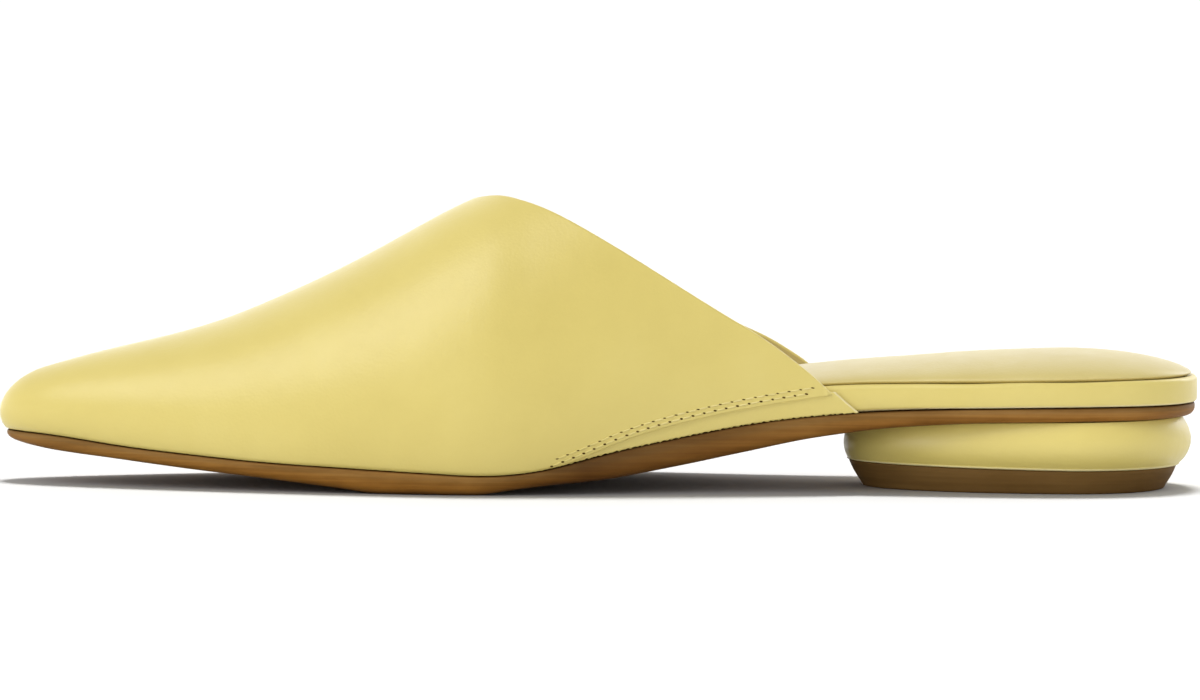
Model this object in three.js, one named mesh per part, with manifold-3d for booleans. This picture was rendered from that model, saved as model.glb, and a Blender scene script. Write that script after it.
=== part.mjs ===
// A leather mule for the right foot: pointed toe, high vamp, padded sock and a low egg-shaped heel.
// Millimetres, +Z up. The toe points along -X, the inner side of the foot faces -Y, and the origin
// is on the floor under the middle of the shoe.
import * as THREE from "three";
import { mergeVertices } from "three/addons/utils/BufferGeometryUtils.js";
import Module from "manifold-3d";

const wasm = await Module();
wasm.setup();

// Driving dimensions
const LENGTH = 270; // toe of the upper to the back of the footbed
const BALL_WIDTH = 78; // sole, across the ball of the foot
const INSTEP_HEIGHT = 65.3; // floor to the top of the throat
const HEEL_HEIGHT = 19.4; // floor to the top of the sole under the heel
const SEAT_GAP = 0.3; // between two pieces that are glued together

const UPPER_WALL = 1.5; // vamp leather with its lining
const STRIP_INSET = 0.5; // the side strip lies this far inside the vamp's face
const SOLE_TOE_INSET = 1.6; // the sole's tip stands this far behind the upper's toe
const SOLE_BACK_INSET = 0.5; // and its back this far inside the footbed's
const LIFT_HEIGHT = 5.2;
const LIFT_FRONT_RISE = 0.7; // the lift is this much higher at its front
const LIFT_EDGE = 0.6; // small chamfer round the lift's tread
const ROLL_BULGE = { front: 1.2, back: 3.2 };

const SOLE_LENGTH = LENGTH - SOLE_TOE_INSET - SOLE_BACK_INSET;
const HALF_BALL = BALL_WIDTH / 2;
const CUT_REACH = 80; // half width of the cutting prisms

// Plan of the sole's top edge. at: share of the sole's length from its tip.
// outer, inner: half widths to either side, as shares of half the ball width.
const OUTLINE = [
  { at: 0, outer: 0, inner: 0 },
  { at: 0.03, outer: 0.251, inner: 0.254 },
  { at: 0.07, outer: 0.385, inner: 0.395 },
  { at: 0.125, outer: 0.53, inner: 0.554 },
  { at: 0.19, outer: 0.672, inner: 0.708 },
  { at: 0.26, outer: 0.803, inner: 0.85 },
  { at: 0.33, outer: 0.913, inner: 0.956 },
  { at: 0.385, outer: 0.974, inner: 1 },
  { at: 0.44, outer: 1, inner: 0.97 },
  { at: 0.5, outer: 0.974, inner: 0.882 },
  { at: 0.56, outer: 0.908, inner: 0.782 },
  { at: 0.63, outer: 0.826, inner: 0.706 },
  { at: 0.71, outer: 0.769, inner: 0.687 },
  { at: 0.79, outer: 0.751, inner: 0.71 },
  { at: 0.87, outer: 0.738, inner: 0.725 },
  { at: 0.93, outer: 0.664, inner: 0.66 },
  { at: 0.975, outer: 0.47, inner: 0.47 },
  { at: 1, outer: 0, inner: 0 },
];

// Side view of the sole. at: share of the length. feather: its top, where the upper meets it.
// tread: its underside. Both are shares of the heel height.
const SOLE_PROFILE = [
  { at: 0, feather: 0.593, tread: 0.515 },
  { at: 0.02, feather: 0.58, tread: 0.446 },
  { at: 0.05, feather: 0.551, tread: 0.379 },
  { at: 0.1, feather: 0.469, tread: 0.311 },
  { at: 0.167, feather: 0.384, tread: 0.216 },
  { at: 0.23, feather: 0.32, tread: 0.136 },
  { at: 0.28, feather: 0.289, tread: 0.062 },
  { at: 0.325, feather: 0.261, tread: 0 },
  { at: 0.37, feather: 0.233, tread: 0 },
  { at: 0.4, feather: 0.2155, tread: 0 },
  { at: 0.43, feather: 0.231, tread: 0.055 },
  { at: 0.455, feather: 0.279, tread: 0.098 },
  { at: 0.5, feather: 0.432, tread: 0.155 },
  { at: 0.56, feather: 0.613, tread: 0.296 },
  { at: 0.62, feather: 0.773, tread: 0.466 },
  { at: 0.68, feather: 0.881, tread: 0.636 },
  { at: 0.75, feather: 0.948, tread: 0.76 },
  { at: 0.83, feather: 0.982, tread: 0.818 },
  { at: 0.92, feather: 1, tread: 0.837 },
  { at: 1, feather: 1, tread: 0.85 },
];

// The last's ridge over toes and instep. at: share of the length. ridge: share of the instep height.
// fullness: exponent of the section, over 2 for a square shoulder and under 2 for a peaked one.
// spring: how far the wall swells past the sole's edge, in millimetres.
// The rows past the throat shape the walls of the quarters below it.
const LAST = [
  { at: 0.045, ridge: 0.401, fullness: 2.3, spring: 2.2 },
  { at: 0.08, ridge: 0.442, fullness: 2.25, spring: 2 },
  { at: 0.133, ridge: 0.496, fullness: 2.2, spring: 1.8 },
  { at: 0.185, ridge: 0.559, fullness: 2.15, spring: 1.7 },
  { at: 0.233, ridge: 0.64, fullness: 2.1, spring: 1.6 },
  { at: 0.289, ridge: 0.75, fullness: 2.05, spring: 1.5 },
  { at: 0.341, ridge: 0.867, fullness: 2, spring: 1.4 },
  { at: 0.381, ridge: 0.957, fullness: 1.95, spring: 1.3 },
  { at: 0.407, ridge: 1.005, fullness: 1.95, spring: 1.2 },
  { at: 0.444, ridge: 1.06, fullness: 1.9, spring: 1 },
  { at: 0.52, ridge: 1.156, fullness: 1.9, spring: 0.8 },
  { at: 0.63, ridge: 1.286, fullness: 1.9, spring: 0.6 },
  { at: 0.75, ridge: 1.42, fullness: 1.9, spring: 0.5 },
];
const TOE_FAN = 10.5; // the ridge starts this far behind the sole's tip, where the toe's ribs meet
const TOE_FAN_FADE = 25;
const RIDGE_SWING = 3.5; // the instep's ridge leans this far to the inner side
const UPPER_END = 0.745; // share of the length where the uncut upper stops

// Edge of the throat and topline in side view. at: share of the length. up: share of the instep
// height, over the middle. lean: how much the edge falls from there per millimetre to the outer side.
const TOPLINE = [
  { at: 0.37, up: 0.97, lean: 0.048 },
  { at: 0.39, up: 0.984, lean: 0.048 },
  { at: 0.404, up: 0.9945, lean: 0.048 },
  { at: 0.417, up: 0.997, lean: 0.048 },
  { at: 0.434, up: 0.982, lean: 0.048 },
  { at: 0.451, up: 0.958, lean: 0.048 },
  { at: 0.484, up: 0.89, lean: 0.048 },
  { at: 0.533, up: 0.77, lean: 0.048 },
  { at: 0.5825, up: 0.642, lean: 0.048 },
  { at: 0.615, up: 0.562, lean: 0.044 },
  { at: 0.648, up: 0.484, lean: 0.018 },
  { at: 0.6645, up: 0.437, lean: 0.006 },
  { at: 0.677, up: 0.398, lean: 0 },
  { at: 0.689, up: 0.351, lean: 0 },
  { at: 0.7095, up: 0.276, lean: 0 },
  { at: 0.735, up: 0.188, lean: 0 },
];

// Seam between the vamp and the side strip below it, in side view.
const SIDE_SEAM = [
  { at: 0.43, up: 0.018 },
  { at: 0.4555, up: 0.0735 },
  { at: 0.484, up: 0.121 },
  { at: 0.517, up: 0.178 },
  { at: 0.5525, up: 0.225 },
  { at: 0.59, up: 0.2635 },
  { at: 0.6385, up: 0.3035 },
  { at: 0.682, up: 0.3325 },
  { at: 0.75, up: 0.368 },
];
const STRIP_FRONT = 0.435; // the strip starts ahead of where its seam runs into the sole

// Wrapped footbed board and the padded sock on it. at: share of the length. board: thickness.
// inset: the board's edge inside the sole's edge. crown: height of the sock over the board.
const FOOTBED = [
  { at: 0, board: 2.2, inset: 1.9, crown: 1.5 },
  { at: 0.3, board: 2.4, inset: 1.9, crown: 1.8 },
  { at: 0.45, board: 3.2, inset: 1.9, crown: 2.1 },
  { at: 0.56, board: 5, inset: 1.9, crown: 2.4 },
  { at: 0.66, board: 6.6, inset: 1.9, crown: 2.8 },
  { at: 0.71, board: 6.4, inset: 1.7, crown: 3.4 },
  { at: 0.76, board: 6, inset: 0.9, crown: 4.2 },
  { at: 0.83, board: 5.8, inset: -0.3, crown: 5.3 },
  { at: 0.9, board: 5.9, inset: -0.5, crown: 5.6 },
  { at: 1, board: 6.2, inset: -0.5, crown: 5.6 },
];
const BOARD_ROUND = 1.3; // rounded upper edge of the wrapped board
const SOCK_INSET = 1.4; // the sock's edge inside the board's edge
const SOCK_EDGE = 0.5; // thickness of the sock at its edge
const SOCK_DROP_START = 0.885; // the crown falls from here to the back

// The heel's plan is an egg: two half ellipses that share the widest station. Values in millimetres
// from the toe, with the half width.
const HEEL_WIDEST = 240;
const LIFT_TREAD = { front: 194.6, back: 263, half: 24.2 };
const LIFT_TOP = { front: 191.6, back: 265.5, half: 25.4 };

const LEATHER = { color: 0xdfcf7e, roughness: 0.5, metalness: 0 };
const PALE_LEATHER = { color: 0xe6d69a, roughness: 0.5, metalness: 0 };
const SOLE_BROWN = { color: 0x8a5a2c, roughness: 0.55, metalness: 0 };
const LIFT_BROWN = { color: 0x5b4526, roughness: 0.6, metalness: 0 };

// Smooth curve through one column of a table: a natural cubic spline over place(row.at).
function splineOf(rows, column, scale = 1, place = (at) => at) {
  const x = rows.map((row) => place(row.at));
  const y = rows.map((row) => row[column] * scale);
  const last = x.length - 1;
  const bend = new Array(x.length).fill(0);
  const pivot = new Array(x.length).fill(0);
  for (let i = 1; i < last; i++) {
    const share = (x[i] - x[i - 1]) / (x[i + 1] - x[i - 1]);
    const weight = share * pivot[i - 1] + 2;
    const turn = (y[i + 1] - y[i]) / (x[i + 1] - x[i]) - (y[i] - y[i - 1]) / (x[i] - x[i - 1]);
    pivot[i] = (share - 1) / weight;
    bend[i] = ((6 * turn) / (x[i + 1] - x[i - 1]) - share * bend[i - 1]) / weight;
  }
  for (let i = last - 1; i > 0; i--) bend[i] += pivot[i] * bend[i + 1];
  return (at) => {
    const t = place(at);
    let i = 0;
    while (i < last - 1 && t > x[i + 1]) i++;
    const step = x[i + 1] - x[i];
    const a = (x[i + 1] - t) / step;
    const b = (t - x[i]) / step;
    const sag = (a ** 3 - a) * bend[i] + (b ** 3 - b) * bend[i + 1];
    return a * y[i] + b * y[i + 1] + (sag * step * step) / 6;
  };
}

// Curve through one column that never overshoots its rows, so equal rows stay exactly flat.
function steadyOf(rows, column, scale = 1) {
  const x = rows.map((row) => row.at);
  const y = rows.map((row) => row[column] * scale);
  const last = x.length - 1;
  const rise = (i) => (y[i + 1] - y[i]) / (x[i + 1] - x[i]);
  const slopes = y.map((_, i) => {
    if (i === 0) return rise(0);
    if (i === last) return rise(last - 1);
    const [a, b] = [rise(i - 1), rise(i)];
    return a * b <= 0 ? 0 : (2 * a * b) / (a + b);
  });
  return (at) => {
    let i = 0;
    while (i < last - 1 && at > x[i + 1]) i++;
    const step = x[i + 1] - x[i];
    const t = Math.min(1, Math.max(0, (at - x[i]) / step));
    const start = (1 + 2 * t) * (1 - t) ** 2 * y[i] + t * (1 - t) ** 2 * step * slopes[i];
    const end = t * t * (3 - 2 * t) * y[i + 1] + t * t * (t - 1) * step * slopes[i + 1];
    return start + end;
  };
}

// Stations run in a cosine so that toe and heel come out round and finely divided.
const turnOf = (share) => Math.acos(1 - 2 * share) / Math.PI;
const shareOf = (turn) => (1 - Math.cos(Math.PI * turn)) / 2;
const stationOf = (turn) => SOLE_TOE_INSET + SOLE_LENGTH * shareOf(turn);
const turnAtStation = (station) => turnOf((station - SOLE_TOE_INSET) / SOLE_LENGTH);

const outerSpline = splineOf(OUTLINE, "outer", HALF_BALL, turnOf);
const innerSpline = splineOf(OUTLINE, "inner", HALF_BALL, turnOf);
const halfWidth = {
  outer: (turn) => outerSpline(shareOf(turn)),
  inner: (turn) => innerSpline(shareOf(turn)),
};
const overLength = (curve) => (station) => curve(station / LENGTH);
const featherHeight = overLength(splineOf(SOLE_PROFILE, "feather", HEEL_HEIGHT));
const treadHeight = overLength(steadyOf(SOLE_PROFILE, "tread", HEEL_HEIGHT));
const ridgeHeight = overLength(splineOf(LAST, "ridge", INSTEP_HEIGHT));
const fullness = overLength(steadyOf(LAST, "fullness"));
const wallSpring = overLength(steadyOf(LAST, "spring"));
const boardThickness = overLength(steadyOf(FOOTBED, "board"));
const boardInset = overLength(steadyOf(FOOTBED, "inset"));
const sockCrown = overLength(steadyOf(FOOTBED, "crown"));
const boardTop = (station) => featherHeight(station) + boardThickness(station);

// A point of the shoe from its station behind the toe, its side offset and its height.
const pointAt = (station, side, up) => new THREE.Vector3(station - LENGTH / 2, side, up);

// Collects corners and faces, and gives them back as one geometry.
class Faces {
  constructor() {
    this.points = [];
    this.corners = [];
  }
  add(point) {
    this.points.push(point);
    return this.points.length - 1;
  }
  triangle(a, b, c) {
    this.corners.push(a, b, c);
  }
  quad(a, b, c, d) {
    this.corners.push(a, b, c, a, c, d);
  }
  geometry() {
    const geometry = new THREE.BufferGeometry().setFromPoints(this.points);
    geometry.setIndex(this.corners);
    return geometry;
  }
}

// A geometry as a solid that can be cut, and a solid as a geometry again.
function toSolid(geometry) {
  const bare = geometry.clone();
  bare.deleteAttribute("normal");
  bare.deleteAttribute("uv");
  const merged = mergeVertices(bare, 1e-4);
  const vertProperties = new Float32Array(merged.attributes.position.array);
  const triVerts = new Uint32Array(merged.index.array);
  return new wasm.Manifold(new wasm.Mesh({ numProp: 3, vertProperties, triVerts }));
}

function toGeometry(solid) {
  const { vertProperties, triVerts } = solid.getMesh();
  const geometry = new THREE.BufferGeometry();
  geometry.setAttribute("position", new THREE.BufferAttribute(vertProperties, 3));
  geometry.setIndex(new THREE.BufferAttribute(triVerts, 1));
  return geometry;
}

function piece(name, geometry, finish) {
  geometry.computeVertexNormals();
  const mesh = new THREE.Mesh(geometry, new THREE.MeshStandardMaterial(finish));
  mesh.name = name;
  return mesh;
}

// Closed plan loop along the sole's edge, moved inwards by inset(station).
// It runs from the tip along the inner side to the back, and along the outer side to the tip again.
const LOOP_STATIONS = 44;
const innerIndex = (i) => i;
const outerIndex = (i) => (i === 0 || i === LOOP_STATIONS ? i : 2 * LOOP_STATIONS - i);

function planLoop(inset) {
  const plan = [];
  for (let i = 0; i <= LOOP_STATIONS; i++) {
    const turn = i / LOOP_STATIONS;
    plan.push(new THREE.Vector2(stationOf(turn), -halfWidth.inner(turn)));
  }
  for (let i = LOOP_STATIONS - 1; i > 0; i--) {
    const turn = i / LOOP_STATIONS;
    plan.push(new THREE.Vector2(stationOf(turn), halfWidth.outer(turn)));
  }
  return plan.map((spot, i) => {
    const before = plan[(i + plan.length - 1) % plan.length];
    const after = plan[(i + 1) % plan.length];
    const along = after.clone().sub(before).normalize();
    const distance = inset(spot.x);
    return new THREE.Vector2(spot.x - along.y * distance, spot.y + along.x * distance);
  });
}

// Solid from closed loops of equal length, lowest first, whose ends are ruled straight across.
function stackedLoops(loops) {
  const faces = new Faces();
  const rings = loops.map((loop) => loop.map((point) => faces.add(point)));
  const count = rings[0].length;
  for (let r = 0; r + 1 < rings.length; r++) {
    for (let i = 0; i < count; i++) {
      const next = (i + 1) % count;
      faces.quad(rings[r][i], rings[r][next], rings[r + 1][next], rings[r + 1][i]);
    }
  }
  const cap = (ring, flipped) => {
    for (let i = 0; i < LOOP_STATIONS; i++) {
      const square = [innerIndex(i), innerIndex(i + 1), outerIndex(i + 1), outerIndex(i)];
      const corners = [...new Set(square)].map((index) => ring[index]);
      if (flipped) corners.reverse();
      for (let k = 1; k + 1 < corners.length; k++) faces.triangle(corners[0], corners[k], corners[k + 1]);
    }
  };
  cap(rings[0], true);
  cap(rings[rings.length - 1], false);
  return faces.geometry();
}

// Sole: a thin board with an upright edge and a rounded lower corner, flat on the floor under the ball.
const SOLE_EDGE = [
  { inset: 3.2, up: 0 },
  { inset: 1.3, up: 0.08 },
  { inset: 0.35, up: 0.3 },
  { inset: 0, up: 0.6 },
  { inset: 0, up: 1 },
];

function outsole() {
  const loops = SOLE_EDGE.map((row) =>
    planLoop(() => row.inset).map((spot) => {
      const low = treadHeight(spot.x);
      return pointAt(spot.x, spot.y, low + (featherHeight(spot.x) - low) * row.up);
    }),
  );
  return stackedLoops(loops);
}

// Footbed: the insole board in its leather wrapping, with a rounded upper edge.
function footbed() {
  const levels = [
    { inset: 0.5, up: (s) => featherHeight(s) + SEAT_GAP },
    { inset: 0, up: (s) => featherHeight(s) + SEAT_GAP + 0.6 },
    { inset: 0, up: (s) => boardTop(s) - BOARD_ROUND },
    { inset: BOARD_ROUND * 0.3, up: (s) => boardTop(s) - BOARD_ROUND * 0.3 },
    { inset: BOARD_ROUND, up: (s) => boardTop(s) },
  ];
  const loops = levels.map((level) =>
    planLoop((s) => boardInset(s) + level.inset).map((spot) => pointAt(spot.x, spot.y, level.up(spot.x))),
  );
  return stackedLoops(loops);
}

// Sock: a pad on the footbed, domed across and rounded down towards the back.
const SOCK_COLUMNS = 12;

function sockHeight(station, across, back) {
  const start = SOCK_DROP_START * LENGTH;
  const past = Math.max(0, (station - start) / (back - start));
  const along = Math.max(0, 1 - past ** 2) ** 0.7;
  const dome = Math.max(0, 1 - Math.abs(across) ** 2.3) ** 0.6;
  return SOCK_EDGE + (sockCrown(station) - SOCK_EDGE) * along * dome;
}

function sockPad() {
  const edge = planLoop((s) => boardInset(s) + SOCK_INSET);
  const back = edge[LOOP_STATIONS].x;
  const seat = (s) => boardTop(s) + SEAT_GAP;
  const faces = new Faces();
  const rowsOf = (height) => {
    const rows = [];
    for (let i = 0; i <= LOOP_STATIONS; i++) {
      const inner = edge[innerIndex(i)];
      const outer = edge[outerIndex(i)];
      const columns = i === 0 || i === LOOP_STATIONS ? 0 : SOCK_COLUMNS;
      const row = [];
      for (let k = 0; k <= columns; k++) {
        const share = columns ? k / columns : 0;
        const across = columns ? 2 * share - 1 : 1;
        const spot = inner.clone().lerp(outer, share);
        row.push(faces.add(pointAt(spot.x, spot.y, height(spot.x, across))));
      }
      rows.push(row);
    }
    return rows;
  };
  const top = rowsOf((s, across) => seat(s) + sockHeight(s, across, back));
  const bottom = rowsOf((s) => seat(s));
  const web = (rows, flipped) => {
    for (let i = 0; i < LOOP_STATIONS; i++) {
      for (let k = 0; k < SOCK_COLUMNS; k++) {
        const pick = (row, column) => row[Math.min(column, row.length - 1)];
        const [here, next] = [rows[i], rows[i + 1]];
        const square = [pick(here, k), pick(next, k), pick(next, k + 1), pick(here, k + 1)];
        const corners = [...new Set(square)];
        if (flipped) corners.reverse();
        for (let c = 1; c + 1 < corners.length; c++) faces.triangle(corners[0], corners[c], corners[c + 1]);
      }
    }
  };
  web(top, false);
  web(bottom, true);
  for (let i = 0; i < LOOP_STATIONS; i++) {
    faces.quad(bottom[i][0], bottom[i + 1][0], top[i + 1][0], top[i][0]);
    faces.quad(bottom[i + 1].at(-1), bottom[i].at(-1), top[i].at(-1), top[i + 1].at(-1));
  }
  return faces.geometry();
}

// Point of the upper's face. turn: along the sole's edge, negative on the inner side and 0 at the
// toe. rise: 0 at the sole's edge to 1 on the ridge.
function upperPoint(turn, rise) {
  const station = stationOf(Math.abs(turn));
  const width = turn < 0 ? -halfWidth.inner(-turn) : halfWidth.outer(turn);
  const ridgeStation = station + TOE_FAN * Math.exp((SOLE_TOE_INSET - station) / TOE_FAN_FADE);
  const ridgeSide = -RIDGE_SWING * THREE.MathUtils.smoothstep(ridgeStation, 0, LENGTH * 0.5);
  const foot = featherHeight(station) + SEAT_GAP;
  const ridge = ridgeHeight(ridgeStation);
  const reach = new THREE.Vector2(station - ridgeStation, width - ridgeSide);
  const span = reach.length();
  reach.divideScalar(span);
  const climb = (ridgeHeight(ridgeStation + 1) - ridgeHeight(ridgeStation - 1)) / 2;
  const power = 2 / fullness(station);
  const angle = (rise * Math.PI) / 2;
  const away = span * Math.max(0, Math.cos(angle)) ** power;
  const below = 1 - Math.sin(angle) ** power;
  const drop = ridge + climb * reach.x * span - foot;
  const swell = wallSpring(station) * Math.sin(Math.PI * rise ** 0.6);
  const up = ridge + climb * reach.x * away - drop * below;
  const out = away + swell;
  return pointAt(ridgeStation + reach.x * out, ridgeSide + reach.y * out, up);
}

// Outward normal of the upper, held level at the sole's edge.
function upperNormal(turn, rise) {
  const step = 1e-3;
  const near = Math.min(rise, 1 - 2 * step);
  const along = upperPoint(turn + step, near).sub(upperPoint(turn - step, near));
  const upward = upperPoint(turn, near + step).sub(upperPoint(turn, Math.max(0, near - step)));
  const normal = new THREE.Vector3().crossVectors(upward, along);
  normal.z = Math.max(0, normal.z);
  if (rise === 1) normal.y = 0;
  return normal.normalize();
}

// Closed wall between two depths under the upper's face, over a net of turns and rises.
// Where the rises reach the ridge, both sides share its points.
function upperWall(turns, rises, outerDepth, innerDepth) {
  const faces = new Faces();
  const spots = new Map();
  const spot = (turn, rise, depth) => {
    const key = [rise === 1 ? Math.abs(turn) : turn, rise, depth].join();
    if (!spots.has(key)) {
      const inward = upperNormal(turn, rise).multiplyScalar(-depth);
      spots.set(key, faces.add(upperPoint(turn, rise).add(inward)));
    }
    return spots.get(key);
  };
  const skin = (depth, flipped) => {
    for (let i = 0; i + 1 < turns.length; i++) {
      for (let j = 0; j + 1 < rises.length; j++) {
        const square = [
          spot(turns[i], rises[j], depth),
          spot(turns[i + 1], rises[j], depth),
          spot(turns[i + 1], rises[j + 1], depth),
          spot(turns[i], rises[j + 1], depth),
        ];
        if (flipped) square.reverse();
        faces.quad(...square);
      }
    }
  };
  const rim = (path) => {
    for (let k = 0; k + 1 < path.length; k++) {
      const [a, b] = [path[k], path[k + 1]];
      faces.quad(
        spot(...a, outerDepth),
        spot(...b, outerDepth),
        spot(...b, innerDepth),
        spot(...a, innerDepth),
      );
    }
  };
  skin(outerDepth, true);
  skin(innerDepth, false);
  const [first, last, top] = [turns[0], turns.at(-1), rises.at(-1)];
  rim(turns.map((turn) => [turn, rises[0]]));
  rim(rises.map((rise) => [last, rise]));
  if (top < 1) rim(turns.map((turn) => [turn, top]).reverse());
  rim(rises.map((rise) => [first, rise]).reverse());
  return toSolid(faces.geometry());
}

// Prism across the whole shoe, above or below a line in side view.
const LINE_STEPS = 40;

function sidePrism(rows, far, lift = 0, leaning = false) {
  const line = splineOf(rows, "up", INSTEP_HEIGHT);
  const [start, end] = [rows[0].at, rows.at(-1).at];
  const shape = new THREE.Shape();
  shape.moveTo((start - 0.5) * LENGTH, far);
  for (let i = 0; i <= LINE_STEPS; i++) {
    const at = start + ((end - start) * i) / LINE_STEPS;
    shape.lineTo((at - 0.5) * LENGTH, line(at) + lift);
  }
  shape.lineTo((end - 0.5) * LENGTH + CUT_REACH, line(end) + lift);
  shape.lineTo((end - 0.5) * LENGTH + CUT_REACH, far);
  const prism = new THREE.ExtrudeGeometry(shape, { depth: 2 * CUT_REACH, bevelEnabled: false });
  prism.rotateX(Math.PI / 2).translate(0, CUT_REACH, 0);
  if (leaning) {
    const lean = steadyOf(rows, "lean");
    const spots = prism.attributes.position;
    for (let i = 0; i < spots.count; i++) {
      const at = spots.getX(i) / LENGTH + 0.5;
      spots.setZ(i, spots.getZ(i) - lean(at) * spots.getY(i));
    }
  }
  return toSolid(prism);
}

const SKY = 2 * INSTEP_HEIGHT;
const behindTopline = sidePrism(TOPLINE, SKY, 0, true);
const belowSeam = sidePrism(SIDE_SEAM, -INSTEP_HEIGHT);
const belowStripTop = sidePrism(SIDE_SEAM, -INSTEP_HEIGHT, -SEAT_GAP);

// Vamp: the whole upper above the side strips, open at the throat and underneath.
const VAMP_RIBS = 29;
const VAMP_RISES = [0, 0.02, 0.05, 0.1, 0.17, 0.26, 0.36, 0.47, 0.58, 0.69, 0.79, 0.88, 0.95, 1];

function vamp() {
  const end = turnAtStation(UPPER_END * LENGTH);
  const turns = [];
  for (let i = -VAMP_RIBS; i <= VAMP_RIBS; i++) turns.push((end * i) / VAMP_RIBS);
  const shell = upperWall(turns, VAMP_RISES, 0, UPPER_WALL);
  return toGeometry(shell.subtract(behindTopline).subtract(belowSeam));
}

// Side strip: the narrow piece under the vamp's seam, a little inside its face.
const STRIP_RIBS = 18;
const STRIP_RISES = [0, 0.02, 0.045, 0.075, 0.11];

function sideStrip(side) {
  const [start, end] = [STRIP_FRONT, UPPER_END].map((at) => turnAtStation(at * LENGTH));
  const turns = [];
  for (let i = 0; i <= STRIP_RIBS; i++) turns.push(side * (start + ((end - start) * i) / STRIP_RIBS));
  if (side < 0) turns.reverse();
  const band = upperWall(turns, STRIP_RISES, STRIP_INSET, UPPER_WALL);
  return toGeometry(band.intersect(belowStripTop).subtract(behindTopline));
}

// Egg-shaped loop of the heel's plan, grown by grow(station) along its normal.
const HEEL_SIDES = 44;

function eggLoop(egg, grow = () => 0) {
  const spots = [];
  for (let i = 0; i < HEEL_SIDES; i++) {
    const angle = (2 * Math.PI * i) / HEEL_SIDES;
    const length = Math.cos(angle) < 0 ? HEEL_WIDEST - egg.front : egg.back - HEEL_WIDEST;
    const station = HEEL_WIDEST + length * Math.cos(angle);
    const normal = new THREE.Vector2(Math.cos(angle) / length, Math.sin(angle) / egg.half).normalize();
    const spot = new THREE.Vector2(station, egg.half * Math.sin(angle));
    spots.push(spot.addScaledVector(normal, grow(station)));
  }
  return spots;
}

// Solid from egg loops, lowest first. Each end closes over smaller copies of its loop.
const HEEL_LIDS = [0.72, 0.4];

function stackedEggs(levels) {
  const faces = new Faces();
  const ringOf = (spots, up) => spots.map((spot) => faces.add(pointAt(spot.x, spot.y, up(spot.x))));
  const band = (low, high) => {
    for (let i = 0; i < HEEL_SIDES; i++) {
      const next = (i + 1) % HEEL_SIDES;
      faces.quad(low[i], low[next], high[next], high[i]);
    }
  };
  const centre = new THREE.Vector2(HEEL_WIDEST, 0);
  const close = (level, outside, flipped) => {
    let ring = outside;
    for (const share of HEEL_LIDS) {
      const spots = level.spots.map((spot) => centre.clone().lerp(spot, share));
      const smaller = ringOf(spots, level.up);
      if (flipped) band(smaller, ring);
      else band(ring, smaller);
      ring = smaller;
    }
    const middle = faces.add(pointAt(centre.x, centre.y, level.up(centre.x)));
    for (let i = 0; i < HEEL_SIDES; i++) {
      const next = (i + 1) % HEEL_SIDES;
      if (flipped) faces.triangle(middle, ring[next], ring[i]);
      else faces.triangle(middle, ring[i], ring[next]);
    }
  };
  const rings = levels.map((level) => ringOf(level.spots, level.up));
  for (let r = 0; r + 1 < rings.length; r++) band(rings[r], rings[r + 1]);
  close(levels[0], rings[0], true);
  close(levels.at(-1), rings.at(-1), false);
  return faces.geometry();
}

// Top lift: the hard tread of the heel, spreading upwards and climbing a little towards its front.
function liftTop(station) {
  const ahead = Math.max(0, HEEL_WIDEST - station) / (HEEL_WIDEST - LIFT_TOP.front);
  return LIFT_HEIGHT + LIFT_FRONT_RISE * ahead;
}

function heelLift() {
  return stackedEggs([
    { spots: eggLoop(LIFT_TREAD, () => -LIFT_EDGE), up: () => 0 },
    { spots: eggLoop(LIFT_TREAD), up: () => LIFT_EDGE },
    { spots: eggLoop(LIFT_TOP), up: liftTop },
  ]);
}

// Heel roll: the padded leather ring between the lift and the sole, swelling outwards at mid height.
const ROLL_LEVELS = 9;
const ROLL_CLOSE = 0.88; // how far round its half circle the roll has come where it meets the sole

function heelRoll() {
  const foot = (station) => liftTop(station) + SEAT_GAP;
  const bulge = (station) => {
    const share = (station - LIFT_TOP.front) / (LIFT_TOP.back - LIFT_TOP.front);
    return THREE.MathUtils.lerp(ROLL_BULGE.front, ROLL_BULGE.back, share);
  };
  const levels = [];
  for (let i = 0; i <= ROLL_LEVELS; i++) {
    const share = i / ROLL_LEVELS;
    const swell = Math.sin(Math.PI * ROLL_CLOSE * share ** 0.85);
    levels.push({
      spots: eggLoop(LIFT_TOP, (station) => swell * bulge(station)),
      up: (station) => THREE.MathUtils.lerp(foot(station), treadHeight(station) - SEAT_GAP, share),
    });
  }
  return stackedEggs(levels);
}

const mule = new THREE.Group();
mule.add(
  piece("outsole", outsole(), SOLE_BROWN),
  piece("footbed", footbed(), LEATHER),
  piece("sock_pad", sockPad(), PALE_LEATHER),
  piece("vamp", vamp(), LEATHER),
  piece("side_strip_inner", sideStrip(-1), LEATHER),
  piece("side_strip_outer", sideStrip(1), LEATHER),
  piece("heel_roll", heelRoll(), LEATHER),
  piece("heel_lift", heelLift(), LIFT_BROWN),
);

export default mule;
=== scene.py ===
"""A yellow leather mule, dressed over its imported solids.

Shapes are worked out in millimetres from the same tables as the solids and turned into metres when a
mesh is made. Stations run from the toe of the upper towards the heel. The toe points along -X and the
inner side of the foot, which faces the camera, along -Y.
"""

import math

import bmesh
import bpy
import numpy as np
from mathutils import Matrix, Vector


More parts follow.
